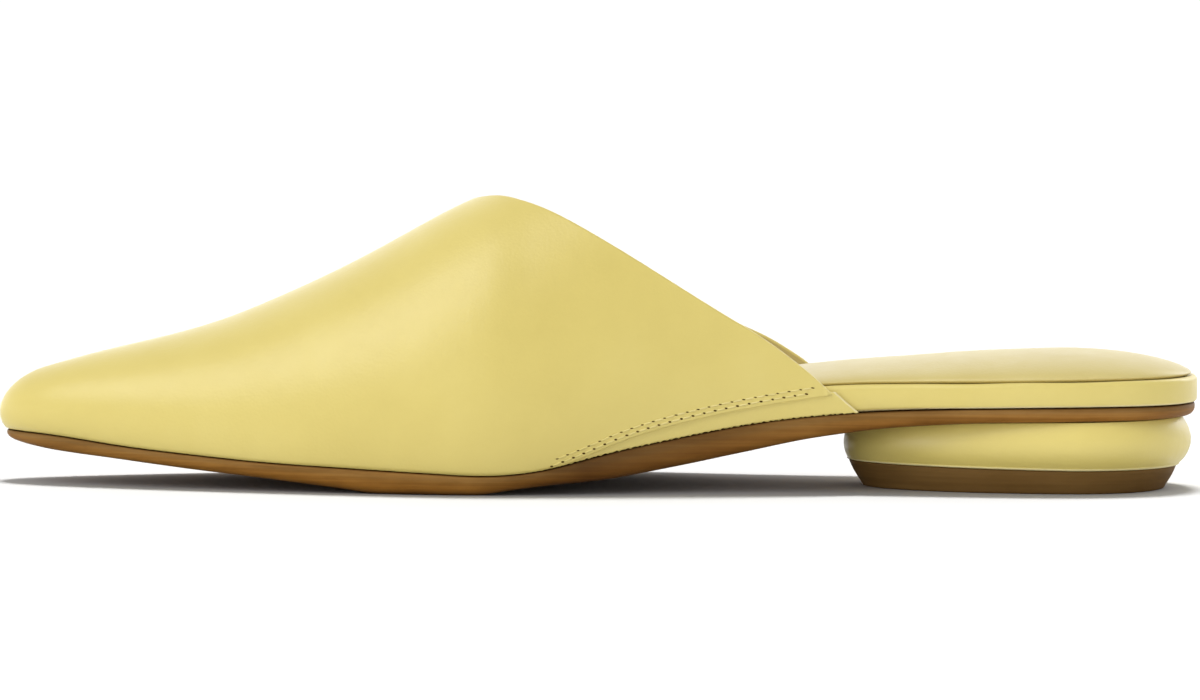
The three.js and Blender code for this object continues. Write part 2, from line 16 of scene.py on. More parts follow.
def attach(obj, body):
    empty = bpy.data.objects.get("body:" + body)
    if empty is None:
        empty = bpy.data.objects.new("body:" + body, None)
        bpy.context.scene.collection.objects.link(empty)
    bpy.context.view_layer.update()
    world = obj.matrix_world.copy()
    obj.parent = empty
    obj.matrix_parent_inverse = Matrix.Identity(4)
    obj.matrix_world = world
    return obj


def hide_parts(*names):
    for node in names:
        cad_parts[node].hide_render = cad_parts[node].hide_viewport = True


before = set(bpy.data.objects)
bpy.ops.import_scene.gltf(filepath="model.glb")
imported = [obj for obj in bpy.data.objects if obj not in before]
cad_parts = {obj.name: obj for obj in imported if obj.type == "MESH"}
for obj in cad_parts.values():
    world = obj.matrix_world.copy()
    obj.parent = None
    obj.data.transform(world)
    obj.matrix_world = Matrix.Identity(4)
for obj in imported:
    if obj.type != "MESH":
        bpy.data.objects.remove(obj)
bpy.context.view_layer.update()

MM = 0.001

# Driving dimensions
LENGTH = 270.0
HALF_BALL = 39.0
INSTEP_HEIGHT = 65.3
HEEL_HEIGHT = 19.4
SEAT_GAP = 0.3
SOLE_TIP = 1.6
SOLE_LENGTH = LENGTH - SOLE_TIP - 0.5
WALL = 1.5
STRIP_DEPTH = (0.5, 1.4)


def columns(names, *rows):
    """A table's rows as one array per named column."""
    return dict(zip(names.split(), np.array(rows, float).T))


# Plan of the sole's top edge, as shares of the sole's length and of half the ball width
OUTLINE = columns(
    "at outer inner",
    (0, 0, 0),
    (0.03, 0.251, 0.254),
    (0.07, 0.385, 0.395),
    (0.125, 0.53, 0.554),
    (0.19, 0.672, 0.708),
    (0.26, 0.803, 0.85),
    (0.33, 0.913, 0.956),
    (0.385, 0.974, 1),
    (0.44, 1, 0.97),
    (0.5, 0.974, 0.882),
    (0.56, 0.908, 0.782),
    (0.63, 0.826, 0.706),
    (0.71, 0.769, 0.687),
    (0.79, 0.751, 0.71),
    (0.87, 0.738, 0.725),
    (0.93, 0.664, 0.66),
    (0.975, 0.47, 0.47),
    (1, 0, 0),
)

# Side view of the sole: its top and its underside, as shares of the heel height
SOLE_PROFILE = columns(
    "at feather tread",
    (0, 0.593, 0.515),
    (0.02, 0.58, 0.446),
    (0.05, 0.551, 0.379),
    (0.1, 0.469, 0.311),
    (0.167, 0.384, 0.216),
    (0.23, 0.32, 0.136),
    (0.28, 0.289, 0.062),
    (0.325, 0.261, 0),
    (0.37, 0.233, 0),
    (0.4, 0.2155, 0),
    (0.43, 0.231, 0.055),
    (0.455, 0.279, 0.098),
    (0.5, 0.432, 0.155),
    (0.56, 0.613, 0.296),
    (0.62, 0.773, 0.466),
    (0.68, 0.881, 0.636),
    (0.75, 0.948, 0.76),
    (0.83, 0.982, 0.818),
    (0.92, 1, 0.837),
    (1, 1, 0.85),
)

# Ridge of the last, fullness of its sections and swell of its walls
LAST = columns(
    "at ridge fullness spring",
    (0.045, 0.401, 2.3, 2.2),
    (0.08, 0.442, 2.25, 2),
    (0.133, 0.496, 2.2, 1.8),
    (0.185, 0.559, 2.15, 1.7),
    (0.233, 0.64, 2.1, 1.6),
    (0.289, 0.75, 2.05, 1.5),
    (0.341, 0.867, 2, 1.4),
    (0.381, 0.957, 1.95, 1.3),
    (0.407, 1.005, 1.95, 1.2),
    (0.444, 1.06, 1.9, 1),
    (0.52, 1.156, 1.9, 0.8),
    (0.63, 1.286, 1.9, 0.6),
    (0.75, 1.42, 1.9, 0.5),
)
TOE_FAN = 10.5
TOE_FAN_FADE = 25.0
RIDGE_SWING = 3.5

# Topline and side seam in side view, as shares of the instep height
TOPLINE = columns(
    "at up lean",
    (0.37, 0.97, 0.048),
    (0.39, 0.984, 0.048),
    (0.404, 0.9945, 0.048),
    (0.417, 0.997, 0.048),
    (0.434, 0.982, 0.048),
    (0.451, 0.958, 0.048),
    (0.484, 0.89, 0.048),
    (0.533, 0.77, 0.048),
    (0.5825, 0.642, 0.048),
    (0.615, 0.562, 0.044),
    (0.648, 0.484, 0.018),
    (0.6645, 0.437, 0.006),
    (0.677, 0.398, 0),
    (0.689, 0.351, 0),
    (0.7095, 0.276, 0),
    (0.735, 0.188, 0),
)
SIDE_SEAM = columns(
    "at up",
    (0.43, 0.018),
    (0.4555, 0.0735),
    (0.484, 0.121),
    (0.517, 0.178),
    (0.5525, 0.225),
    (0.59, 0.2635),
    (0.6385, 0.3035),
    (0.682, 0.3325),
    (0.75, 0.368),
)

# Wrapped footbed board and the sock's crown over it
FOOTBED = columns(
    "at board inset crown",
    (0, 2.2, 1.9, 1.5),
    (0.3, 2.4, 1.9, 1.8),
    (0.45, 3.2, 1.9, 2.1),
    (0.56, 5, 1.9, 2.4),
    (0.66, 6.6, 1.9, 2.8),
    (0.71, 6.4, 1.7, 3.4),
    (0.76, 6, 0.9, 4.2),
    (0.83, 5.8, -0.3, 5.3),
    (0.9, 5.9, -0.5, 5.6),
    (1, 6.2, -0.5, 5.6),
)
SOCK_INSET = 1.4
SOCK_EDGE = 0.25
SOCK_TURN = 0.9
SOCK_SUNK = 0.05
SOCK_COLUMNS = 61
SOCK_DROP_START = 0.885

# Egg-shaped heel
HEEL_WIDEST = 240.0
LIFT_TREAD = (194.6, 263.0, 24.2)
LIFT_TOP = (191.6, 265.5, 25.4)
LIFT_HEIGHT = 5.2
LIFT_FRONT_RISE = 0.7
ROLL_BULGE = (1.2, 3.2)
ROLL_CLOSE = 0.88
ROLL_FOOT_GAP = 0.08
ROLL_TOP_GAP = 0.1
ROLL_LIP = 0.3
ROLL_LEVELS = 31
GATHER_RADIUS = 25
HEEL_SIDES = 160
# Round at the lift's floor edge, as (inset, height), and the height where its straight wall starts
TREAD_ROUND = ((0.6, 0.0), (0.25, 0.1), (0.05, 0.35))
TREAD_ROUND_TOP = 0.6

# Edge of the sole from the tread up, as (inset, share of its height)
SOLE_EDGE = (
    (3.2, 0.0),
    (2.2, 0.02),
    (1.3, 0.08),
    (0.75, 0.17),
    (0.35, 0.3),
    (0.12, 0.45),
    (0.0, 0.62),
    (0.0, 0.86),
    (0.08, 0.94),
    (0.25, 1.0),
)

# Wrapped rim of the footbed: its foot as (inset, height), then a quarter round, then a ledge
RIM_FOOT = ((0.9, 0.0), (0.35, 0.12), (0.08, 0.4), (0.0, 0.9))
RIM_ROLL = 1.2
RIM_ROLL_DEGREES = (8, 25, 45, 65, 82)
RIM_LEDGE = 0.8
RIM_LEDGE_DROP = 0.25

# Points along the loops and the upper, its rounded topline, and the strips under its rear edge
LOOP_STATIONS = 200
VAMP_FRONT_RIBS = 90
VAMP_REAR_RIBS = 120
VAMP_ROWS = 65
SEAM_START = 0.44
EDGE_BACK = 0.35
EDGE_ROUND = 0.6
EDGE_STEPS = 7
STRIP_TUCK = 0.5
STRIP_PAST = 0.9
STRIP_BEVEL = 0.4
STRIP_BEVEL_DEPTH = 0.3
STRIP_RIBS = 260
STRIP_ROWS = 13

# Stitch rows as (distance above the seam, shift in pitches, half width of a hole)
STITCH_PITCH = 2.6
STITCH_ROWS = ((0.95, 0.0, 0.25), (2.1, 0.5, 0.17))
STITCH_REACH = (0.458, 0.679)
STITCH_START = 1.2
STITCH_STOP = 0.4
THREAD_RADIUS = 0.2
THREAD_RISE = 0.2
THREAD_SUNK = 0.14
THREAD_END_GAP = 0.3
HOLE_LENGTH = 0.38
HOLE_SLANT = 0.25
# Rings of a needle hole's dark mark of painted shade as (size, height over the leather)
HOLE_RINGS = ((1.0, -0.06), (0.85, 0.03), (0.5, 0.05))


def spline(x, y):
    """Natural cubic spline through the points."""
    last = len(x) - 1
    step = np.diff(x)
    system = np.eye(len(x))
    turn = np.zeros(len(x))
    for i in range(1, last):
        system[i, i - 1 : i + 2] = step[i - 1], 2 * (step[i - 1] + step[i]), step[i]
        turn[i] = 6 * ((y[i + 1] - y[i]) / step[i] - (y[i] - y[i - 1]) / step[i - 1])
    bend = np.linalg.solve(system, turn)

    def curve(t):
        i = np.clip(np.searchsorted(x, t) - 1, 0, last - 1)
        a = (x[i + 1] - t) / step[i]
        b = 1 - a
        sag = (a**3 - a) * bend[i] + (b**3 - b) * bend[i + 1]
        return a * y[i] + b * y[i + 1] + sag * step[i] ** 2 / 6

    return curve


def steady(x, y):
    """Curve through the points that never overshoots them and stays level past its ends."""
    rise = np.diff(y) / np.diff(x)
    slopes = np.concatenate([rise[:1], np.zeros(len(x) - 2), rise[-1:]])
    same = rise[:-1] * rise[1:] > 0
    slopes[1:-1][same] = 2 * (rise[:-1] * rise[1:])[same] / (rise[:-1] + rise[1:])[same]

    def curve(t):
        i = np.clip(np.searchsorted(x, t) - 1, 0, len(x) - 2)
        step = x[i + 1] - x[i]
        u = np.clip((t - x[i]) / step, 0, 1)
        start = (1 + 2 * u) * (1 - u) ** 2 * y[i] + u * (1 - u) ** 2 * step * slopes[i]
        return start + u * u * (3 - 2 * u) * y[i + 1] + u * u * (u - 1) * step * slopes[i + 1]

    return curve


def turn_of(share):
    return np.arccos(np.clip(1 - 2 * share, -1, 1)) / np.pi


def share_of(turn):
    return (1 - np.cos(np.pi * turn)) / 2


def station_of(turn):
    return SOLE_TIP + SOLE_LENGTH * share_of(np.abs(turn))


def turn_at(station):
    return turn_of((station - SOLE_TIP) / SOLE_LENGTH)


def along(table, column, scale=1.0, kind=spline):
    """A table's column as a function of the station."""
    curve = kind(table["at"] * LENGTH, table[column] * scale)
    return lambda station: curve(np.asarray(station, float))


outer_width = spline(turn_of(OUTLINE["at"]), OUTLINE["outer"] * HALF_BALL)
inner_width = spline(turn_of(OUTLINE["at"]), OUTLINE["inner"] * HALF_BALL)
feather_height = along(SOLE_PROFILE, "feather", HEEL_HEIGHT)
tread_height = along(SOLE_PROFILE, "tread", HEEL_HEIGHT, steady)
ridge_height = along(LAST, "ridge", INSTEP_HEIGHT)
fullness = along(LAST, "fullness", 1, steady)
wall_spring = along(LAST, "spring", 1, steady)
board_thickness = along(FOOTBED, "board", 1, steady)
board_inset = along(FOOTBED, "inset", 1, steady)
sock_crown = along(FOOTBED, "crown", 1, steady)
topline_height = along(TOPLINE, "up", INSTEP_HEIGHT)
topline_lean = along(TOPLINE, "lean", 1, steady)
seam_height = along(SIDE_SEAM, "up", INSTEP_HEIGHT)


def board_top(station):
    return feather_height(station) + board_thickness(station)


def smoothstep(x, low, high):
    t = np.clip((x - low) / (high - low), 0, 1)
    return t * t * (3 - 2 * t)


def spots(station, side, up):
    """Points of the shoe from stations, side offsets and heights."""
    return np.stack(np.broadcast_arrays(station - LENGTH / 2, side, up), -1)


def unit(vectors):
    length = np.linalg.norm(vectors, axis=-1, keepdims=True)
    return vectors / np.maximum(length, 1e-9)


def upper_point(turn, rise):
    """Point of the upper's face, from its place along the sole's edge and its rise to the ridge."""
    turn, rise = np.broadcast_arrays(np.asarray(turn, float), np.asarray(rise, float))
    station = station_of(turn)
    width = np.where(turn < 0, -inner_width(np.abs(turn)), outer_width(np.abs(turn)))
    ridge_station = station + TOE_FAN * np.exp((SOLE_TIP - station) / TOE_FAN_FADE)
    ridge_side = -RIDGE_SWING * smoothstep(ridge_station, 0, LENGTH / 2)
    foot = feather_height(station) + SEAT_GAP
    ridge = ridge_height(ridge_station)
    reach = np.stack([station - ridge_station, width - ridge_side], -1)
    span = np.linalg.norm(reach, axis=-1)
    reach = reach / span[..., None]
    climb = (ridge_height(ridge_station + 1) - ridge_height(ridge_station - 1)) / 2
    power = 2 / fullness(station)
    angle = rise * np.pi / 2
    away = span * np.maximum(0, np.cos(angle)) ** power
    below = 1 - np.sin(angle) ** power
    drop = ridge + climb * reach[..., 0] * span - foot
    out = away + wall_spring(station) * np.sin(np.pi * rise**0.6)
    up = ridge + climb * reach[..., 0] * away - drop * below
    return spots(ridge_station + reach[..., 0] * out, ridge_side + reach[..., 1] * out, up)


def upper_normal(turn, rise):
    """Outward normal of the upper, held level at the sole's edge."""
    turn, rise = np.broadcast_arrays(np.asarray(turn, float), np.asarray(rise, float))
    step = 1e-3
    near = np.minimum(rise, 1 - 2 * step)
    forward = upper_point(turn + step, near) - upper_point(turn - step, near)
    upward = upper_point(turn, near + step) - upper_point(turn, np.maximum(0, near - step))
    normal = np.cross(upward, forward)
    normal[..., 2] = np.maximum(0, normal[..., 2])
    normal[..., 1][rise >= 1] = 0
    return unit(normal)


RISES = np.linspace(0, 1, 1201) ** 1.5


def rise_where(turns, above):
    """Lowest rise of each rib at which above(points) turns positive, or 1 where it never does."""
    points = upper_point(turns[:, None], RISES[None, :])
    gap = above(points)
    crossed = gap > 0
    first = np.argmax(crossed, axis=1)
    rows = np.arange(len(turns))
    before = np.maximum(first - 1, 0)
    low, high = gap[rows, before], gap[rows, first]
    share = np.where(high > low, -low / np.where(high > low, high - low, 1), 0)
    rise = RISES[before] + (RISES[first] - RISES[before]) * np.clip(share, 0, 1)
    rise = np.where(first == 0, 0, rise)
    return np.where(crossed.any(axis=1), rise, 1.0)


def over_topline(points, back=0.0):
    station = points[..., 0] + LENGTH / 2
    slope = topline_height(station + 0.5) - topline_height(station - 0.5)
    edge = topline_height(station) - topline_lean(station) * points[..., 1]
    over = points[..., 2] - edge + back * np.sqrt(1 + slope**2)
    return np.where(station < TOPLINE["at"][0] * LENGTH, -1.0, over)


def over_seam(points, lift=0.0):
    return points[..., 2] - seam_height(points[..., 0] + LENGTH / 2) - lift


def topline_rise(turns, back):
    """Rise of each rib at the topline, moved a distance back from it."""
    return rise_where(turns, lambda points: over_topline(points, back))


def seam_rise(turns, lift=0.0):
    """Rise of each rib at the side seam, or a height above it."""
    return rise_where(turns, lambda points: over_seam(points, lift))


def level_at(value):
    """A value that is the same at every station."""
    return lambda station: np.full_like(station, value)


def between(low, high, share):
    """A share of the way between two heights that follow the station."""
    return lambda station: low(station) + (high(station) - low(station)) * share


class Net:
    """Points and faces of one mesh, with a material number for each face."""

    def __init__(self):
        self.points = []
        self.faces = []
        self.kinds = []
        self.marks = []
        self.count = 0

    def add(self, points, mark=0.0):
        """Adds points, all with one mark for the material, and gives their numbers in the same shape."""
        points = np.asarray(points, float)
        index = np.arange(self.count, self.count + points.size // 3).reshape(points.shape[:-1])
        self.points.append(points.reshape(-1, 3))
        self.marks += [mark] * index.size
        self.count += index.size
        return index

    def web(self, index, kind=0, closed=False):
        """Faces between neighbouring rows and columns of numbered points."""
        if closed:
            index = np.concatenate([index, index[:1]])
        corners = index[:-1, :-1], index[1:, :-1], index[1:, 1:], index[:-1, 1:]
        for quad in np.stack(corners, -1).reshape(-1, 4).tolist():
            face = list(dict.fromkeys(quad))
            if len(face) > 2:
                self.faces.append(face)
                self.kinds.append(kind)

    def fan(self, ring, middle):
        """Triangles from a ring to a point in its middle."""
        for a, b in zip(ring, np.roll(ring, -1)):
            self.faces.append([int(a), int(b), int(middle)])
            self.kinds.append(0)

    def piece(self, name, materials, nodes=()):
        """The finished object, in place of the solids of these nodes."""
        mesh = bpy.data.meshes.new(name)
        mesh.from_pydata((np.concatenate(self.points) * MM).tolist(), [], self.faces)
        for material in materials:
            mesh.materials.append(material)
        mesh.polygons.foreach_set("material_index", self.kinds)
        mesh.polygons.foreach_set("use_smooth", [True] * len(self.faces))
        shell = bmesh.new()
        shell.from_mesh(mesh)
        bmesh.ops.recalc_face_normals(shell, faces=shell.faces)
        shell.to_mesh(mesh)
        shell.free()
        mesh.attributes.new("edge_rise", "FLOAT", "POINT").data.foreach_set("value", self.marks)
        thing = bpy.data.objects.new(name, mesh)
        bpy.context.collection.objects.link(thing)
        if nodes:
            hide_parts(*nodes)
        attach(thing, "root")
        return thing


# Materials


def new_material(name):
    material = bpy.data.materials.new(name)
    material.use_nodes = True
    tree = material.node_tree
    return material, tree, tree.nodes["Principled BSDF"]


def add_node(tree, kind, inputs=None, **settings):
    node = tree.nodes.new(kind)
    for key, value in settings.items():
        setattr(node, key, value)
    for key, value in (inputs or {}).items():
        if isinstance(value, bpy.types.NodeSocket):
            tree.links.new(value, node.inputs[key])
        else:
            node.inputs[key].default_value = value
    return node


def ramp(tree, factor, *stops):
    node = add_node(tree, "ShaderNodeValToRGB", {"Fac": factor})
    bar = node.color_ramp
    while len(bar.elements) < len(stops):
        bar.elements.new(0.5)
    for element, (place, colour) in zip(bar.elements, stops):
        element.position = place
        element.color = (*colour, 1)
    return node.outputs["Color"]


def spread(tree, value, low, high):
    node = add_node(tree, "ShaderNodeMapRange", {"Value": value, "To Min": low, "To Max": high})
    return node.outputs["Result"]


def stretched(tree, scale):
    place = add_node(tree, "ShaderNodeTexCoord").outputs["Object"]
    return add_node(tree, "ShaderNodeMapping", {"Vector": place, "Scale": scale}).outputs["Vector"]


def noise(tree, vector, scale, detail=3.0, rough=0.5):
    inputs = {"Vector": vector, "Scale": scale, "Detail": detail, "Roughness": rough}
    return add_node(tree, "ShaderNodeTexNoise", inputs).outputs["Fac"]


def bump(tree, height, strength, distance, normal=None):
    inputs = {"Height": height, "Strength": strength, "Distance": distance}
    if normal is not None:
        inputs["Normal"] = normal
    return add_node(tree, "ShaderNodeBump", inputs).outputs["Normal"]


def tint(tree, colour, tone):
    node = add_node(tree, "ShaderNodeMix", data_type="RGBA", blend_type="MULTIPLY")
    node.inputs[0].default_value = 1.0
    tree.links.new(colour, node.inputs[6])
    tree.links.new(tone, node.inputs[7])
    return node.outputs[2]


def leather(name, deep, base, pale, rough=(0.32, 0.43), grain=0.1, soft=0.25):
    """Fine-grained leather: mottled colour, paler worn crests, painted shade in hollows, pebble grain and
    faint pores.
    """
    material, tree, shader = new_material(name)
    plain = stretched(tree, (1, 1, 1))
    mottle = noise(tree, plain, 26, 5, 0.55)
    colour = ramp(tree, mottle, (0.3, deep), (0.52, base), (0.75, pale))
    crest = add_node(tree, "ShaderNodeNewGeometry").outputs["Pointiness"]
    # Pointiness makes crests paler as edge wear and hollows darker as painted shade.
    wear_and_hollow_shade = ramp(tree, crest, (0.44, (0.9, 0.88, 0.84)), (0.5, (1.0,) * 3), (0.58, (1.06, 1.07, 1.14)))
    tree.links.new(tint(tree, colour, wear_and_hollow_shade), shader.inputs["Base Color"])
    cells = add_node(tree, "ShaderNodeTexVoronoi", {"Vector": plain, "Scale": 1500.0}, feature="SMOOTH_F1")
    pores = noise(tree, plain, 3200, 2, 0.6)
    slow = noise(tree, plain, 60, 2, 0.4)
    tree.links.new(spread(tree, noise(tree, plain, 240, 4), *rough), shader.inputs["Roughness"])
    normal = bump(tree, slow, soft, 0.0006)
    normal = bump(tree, cells.outputs["Distance"], grain, 0.0003, normal)
    normal = bump(tree, pores, grain * 0.6, 0.0002, normal)
    tree.links.new(normal, shader.inputs["Normal"])
    shader.inputs["Specular IOR Level"].default_value = 0.6
    shader.inputs["Sheen Weight"].default_value = 0.05
    return material


def edge_leather(name, dark, mid, pale, rough, streak, shine):
    """Trimmed and waxed sole edge: streaks along the length, darker in patches."""
    material, tree, shader = new_material(name)
    fibres = noise(tree, stretched(tree, (14, 60, 900)), 1.0, 4, 0.65)
    patches = noise(tree, stretched(tree, (40, 40, 90)), 1.0, 4, 0.6)
    blend = add_node(tree, "ShaderNodeMath", {0: fibres, 1: patches}, operation="ADD")
    half = add_node(tree, "ShaderNodeMath", {0: blend.outputs[0], 1: 0.5}, operation="MULTIPLY")
    colour = ramp(tree, half.outputs[0], (0.34, dark), (0.5, mid), (0.66, pale))
    tree.links.new(colour, shader.inputs["Base Color"])
    tree.links.new(spread(tree, fibres, *rough), shader.inputs["Roughness"])
    grit = noise(tree, stretched(tree, (1, 1, 1)), 1800, 3, 0.6)
    normal = bump(tree, fibres, streak, 0.0004)
    tree.links.new(bump(tree, grit, streak * 0.6, 0.0002, normal), shader.inputs["Normal"])
    shader.inputs["Specular IOR Level"].default_value = shine
    return material


def tone_sole(material):
    """Greyer upper half and orange lower half, with painted shade in a dark top line under the upper and a
    darker bottom, painted shade on the waist and painted light at the ball.
    """
    tree = material.node_tree
    shader = tree.nodes["Principled BSDF"]
    colour = shader.inputs["Base Color"].links[0].from_socket
    rise = add_node(tree, "ShaderNodeAttribute", attribute_name="edge_rise").outputs["Fac"]
    # Up the edge: the greyer upper and orange lower halves are the sole's two tones; the dark top line is
    # painted shade under the upper's overhang and the darker bottom is painted shade at the floor.
    two_tone_and_painted_shade = ramp(
        tree,
        rise,
        (0.0, (0.9, 0.85, 0.75)),
        (0.3, (1.08, 0.98, 0.8)),
        (0.6, (1.0, 0.97, 0.9)),
        (0.75, (0.88, 0.93, 1.1)),
        (0.93, (0.8, 0.82, 0.9)),
        (1.0, (0.5, 0.48, 0.45)),
    )
    place = add_node(tree, "ShaderNodeTexCoord").outputs["Object"]
    station = add_node(tree, "ShaderNodeSeparateXYZ", {"Vector": place}).outputs["X"]
    half = LENGTH * MM / 2
    inputs = {"Value": station, "From Min": -half, "From Max": half}
    share = add_node(tree, "ShaderNodeMapRange", inputs).outputs["Result"]
    # Along the length: painted shade darkens the waist, painted light brightens the ball in place of
    # bounce from the floor, and the toe and back are a little darker.
    painted_light_and_shade_along = ramp(
        tree,
        share,
        (0.0, (0.85, 0.88, 0.95)),
        (0.33, (1.24, 1.24, 1.18)),
        (0.4, (1.1, 1.1, 1.05)),
        (0.49, (0.5, 0.46, 0.42)),
        (0.58, (0.62, 0.57, 0.48)),
        (0.72, (1.0, 1.0, 0.98)),
        (0.9, (1.0, 1.0, 1.05)),
        (1.0, (0.85, 0.85, 0.9)),
    )
    tree.links.new(tint(tree, tint(tree, colour, two_tone_and_painted_shade), painted_light_and_shade_along), shader.inputs["Base Color"])


yellow = leather(
    "yellow_leather",
    deep=(0.62, 0.5, 0.128),
    base=(0.655, 0.533, 0.143),
    pale=(0.68, 0.56, 0.163),
)
sock_yellow = leather(
    "sock_leather",
    deep=(0.55, 0.44, 0.142),
    base=(0.585, 0.475, 0.162),
    pale=(0.62, 0.515, 0.195),
    rough=(0.34, 0.47),
)
lining_tan = leather(
    "lining_leather",
    deep=(0.54, 0.43, 0.17),
    base=(0.6, 0.49, 0.2),
    pale=(0.65, 0.54, 0.24),
    rough=(0.55, 0.7),
)
# Pale cut-edge leather, also laid on the heel roll's lip as a painted highlight.
cut_edge_and_lip_highlight = leather(
    "cut_edge_and_lip_highlight",
    deep=(0.62, 0.52, 0.2),
    base=(0.7, 0.6, 0.26),
    pale=(0.76, 0.66, 0.33),
    rough=(0.6, 0.75),
    grain=0.2,
)
sole_brown = edge_leather(
    "sole_edge",
    dark=(0.16, 0.07, 0.01),
    mid=(0.265, 0.125, 0.025),
    pale=(0.34, 0.175, 0.042),
    rough=(0.5, 0.62),
    streak=0.25,
    shine=0.14,
)
tone_sole(sole_brown)
lift_brown = edge_leather(
    "lift_rubber",
    dark=(0.125, 0.064, 0.014),
    mid=(0.153, 0.081, 0.021),
    pale=(0.18, 0.1, 0.028),
    rough=(0.6, 0.75),
    streak=0.1,
    shine=0.12,
)
thread_yellow = leather(
    "thread",
    deep=(0.58, 0.47, 0.12),
    base=(0.68, 0.57, 0.18),
    pale=(0.76, 0.65, 0.27),
    rough=(0.5, 0.65),
    grain=0.3,
)
# Near-black colour of the needle-hole marks: painted shade standing in for each hole's dark inside.
hole_painted_shade = edge_leather(
    "needle_hole_painted_shade",
    dark=(0.05, 0.028, 0.004),
    mid=(0.09, 0.05, 0.01),
    pale=(0.13, 0.075, 0.016),
    rough=(0.7, 0.8),
    streak=0.1,
    shine=0.1,
)


# Plan loops along the sole's edge


def plan_loop(inset):
    """Closed loop along the sole's edge, moved inwards by inset(station).

    It runs from the tip along the inner side to the back, and along the outer side to the tip.
    """
    turns = np.linspace(0, 1, LOOP_STATIONS + 1)
    near = np.stack([station_of(turns), -inner_width(turns)], -1)
    far = np.stack([station_of(turns), outer_width(turns)], -1)[-2:0:-1]
    plan = np.concatenate([near, far])
    way = unit(np.roll(plan, -1, 0) - np.roll(plan, 1, 0))
    return plan + np.stack([-way[:, 1], way[:, 0]], -1) * inset(plan[:, 0])[:, None]


def board_loop(inset):
    """Loop a distance inside the footbed board's edge."""
    return plan_loop(lambda station: board_inset(station) + inset)


def across(loop):
    """The loop's points as pairs, inner and outer side, from tip to back."""
    back = LOOP_STATIONS
    far = np.concatenate([loop[:1], loop[:back:-1], loop[back : back + 1]])
    return np.stack([loop[: back + 1], far], 1)


def stacked(net, levels, kinds=None, marks=None):
    """Walls between plan loops, lowest first, with both ends ruled across."""
    rings = [net.add(level, mark) for level, mark in zip(levels, marks or [0.0] * len(levels))]
    for r in range(len(rings) - 1):
        net.web(np.stack([rings[r], rings[r + 1]], 1), kinds[r] if kinds else 0, closed=True)
    net.web(across(rings[0]))
    net.web(across(rings[-1]))


def outsole():
    """Thin sole: its edge stands upright and rounds under at the tread."""
    levels = []
    for inset, up in SOLE_EDGE:
        plan = plan_loop(level_at(inset))
        height = between(tread_height, feather_height, up)
        levels.append(spots(plan[:, 0], plan[:, 1], height(plan[:, 0])))
    net = Net()
    stacked(net, levels, marks=[up for _, up in SOLE_EDGE])
    return net.piece("outsole_leather", [sole_brown], ["outsole"])


def ripple(place, *waves):
    """Sum of sine waves given as (size, length, shift)."""
    return sum(size * np.sin(2 * np.pi * place / length + shift) for size, length, shift in waves)


def footbed():
    """Wrapped board: tucked under at the sole and rolled over at the sock."""
    levels = []
    for inset, up in RIM_FOOT:
        plan = board_loop(inset)
        s = plan[:, 0]
        levels.append(spots(s, plan[:, 1], feather_height(s) + SEAT_GAP + up))
    for angle in np.radians(RIM_ROLL_DEGREES):
        plan = board_loop(RIM_ROLL * (1 - math.cos(angle)))
        s = plan[:, 0]
        drop = RIM_ROLL * (1 - math.sin(angle))
        wave = ripple(s, (0.05, 37, 0.4), (0.04, 23, 1.9))
        levels.append(spots(s, plan[:, 1], board_top(s) - drop + wave))
    plan = board_loop(RIM_ROLL + RIM_LEDGE)
    levels.append(spots(plan[:, 0], plan[:, 1], board_top(plan[:, 0]) - RIM_LEDGE_DROP))
    net = Net()
    pale = [1, 1]
    stacked(net, levels, pale + [0] * (len(levels) - 1 - len(pale)))
    return net.piece("footbed_wrapping", [yellow, cut_edge_and_lip_highlight], ["footbed"])


def sock_height(station, side, back):
    start = SOCK_DROP_START * LENGTH
    past = np.clip((station - start) / (back - start), 0, 1)
    dome = np.maximum(0, 1 - np.abs(side) ** 2.3) ** 0.6
    return SOCK_EDGE + (sock_crown(station) - SOCK_EDGE) * (1 - past**2) ** 0.7 * dome


def sock_pad():
    """Padded sock: domed across, its edge turned under where it meets the board."""
    edge = plan_loop(lambda s: board_inset(s) + SOCK_INSET + ripple(s, (0.06, 31, 0), (0.05, 19, 2)))
    pairs = across(edge)
    share = share_of(np.linspace(0, 1, SOCK_COLUMNS))
    plan = pairs[:, :1] + (pairs[:, 1:] - pairs[:, :1]) * share[None, :, None]
    s = plan[..., 0]
    side = np.broadcast_to(2 * share - 1, s.shape)
    back = edge[LOOP_STATIONS, 0]
    top = spots(s, plan[..., 1], board_top(s) + SEAT_GAP + sock_height(s, side, back))
    under = board_loop(SOCK_INSET + SOCK_TURN)
    net = Net()
    skin = net.add(top)
    skin[0, :] = skin[0, 0]
    skin[-1, :] = skin[-1, 0]
    net.web(skin)
    rim = np.concatenate([skin[:, 0], skin[-2:0:-1, -1]])
    low = net.add(spots(under[:, 0], under[:, 1], board_top(under[:, 0]) - SOCK_SUNK))
    net.web(np.stack([rim, low], 1), closed=True)
    net.web(across(low))
    pad = net.piece("sock_padding", [sock_yellow], ["sock_pad"])
    return pad


# Upper


def throat_turn():
    """Where the ridge runs out at the throat's edge."""
    turns = np.linspace(0.3, 0.6, 3001)
    over = over_topline(upper_point(turns, np.ones_like(turns)), EDGE_BACK)
    return turns[np.argmax(over > 0)]


def wing_end(sign, room_of):
    """Where a wing's height, room_of(turns), runs out at its rear."""
    turns = sign * np.linspace(0.5, 0.7, 801)
    return turns[np.argmax(room_of(turns) <= 0)]


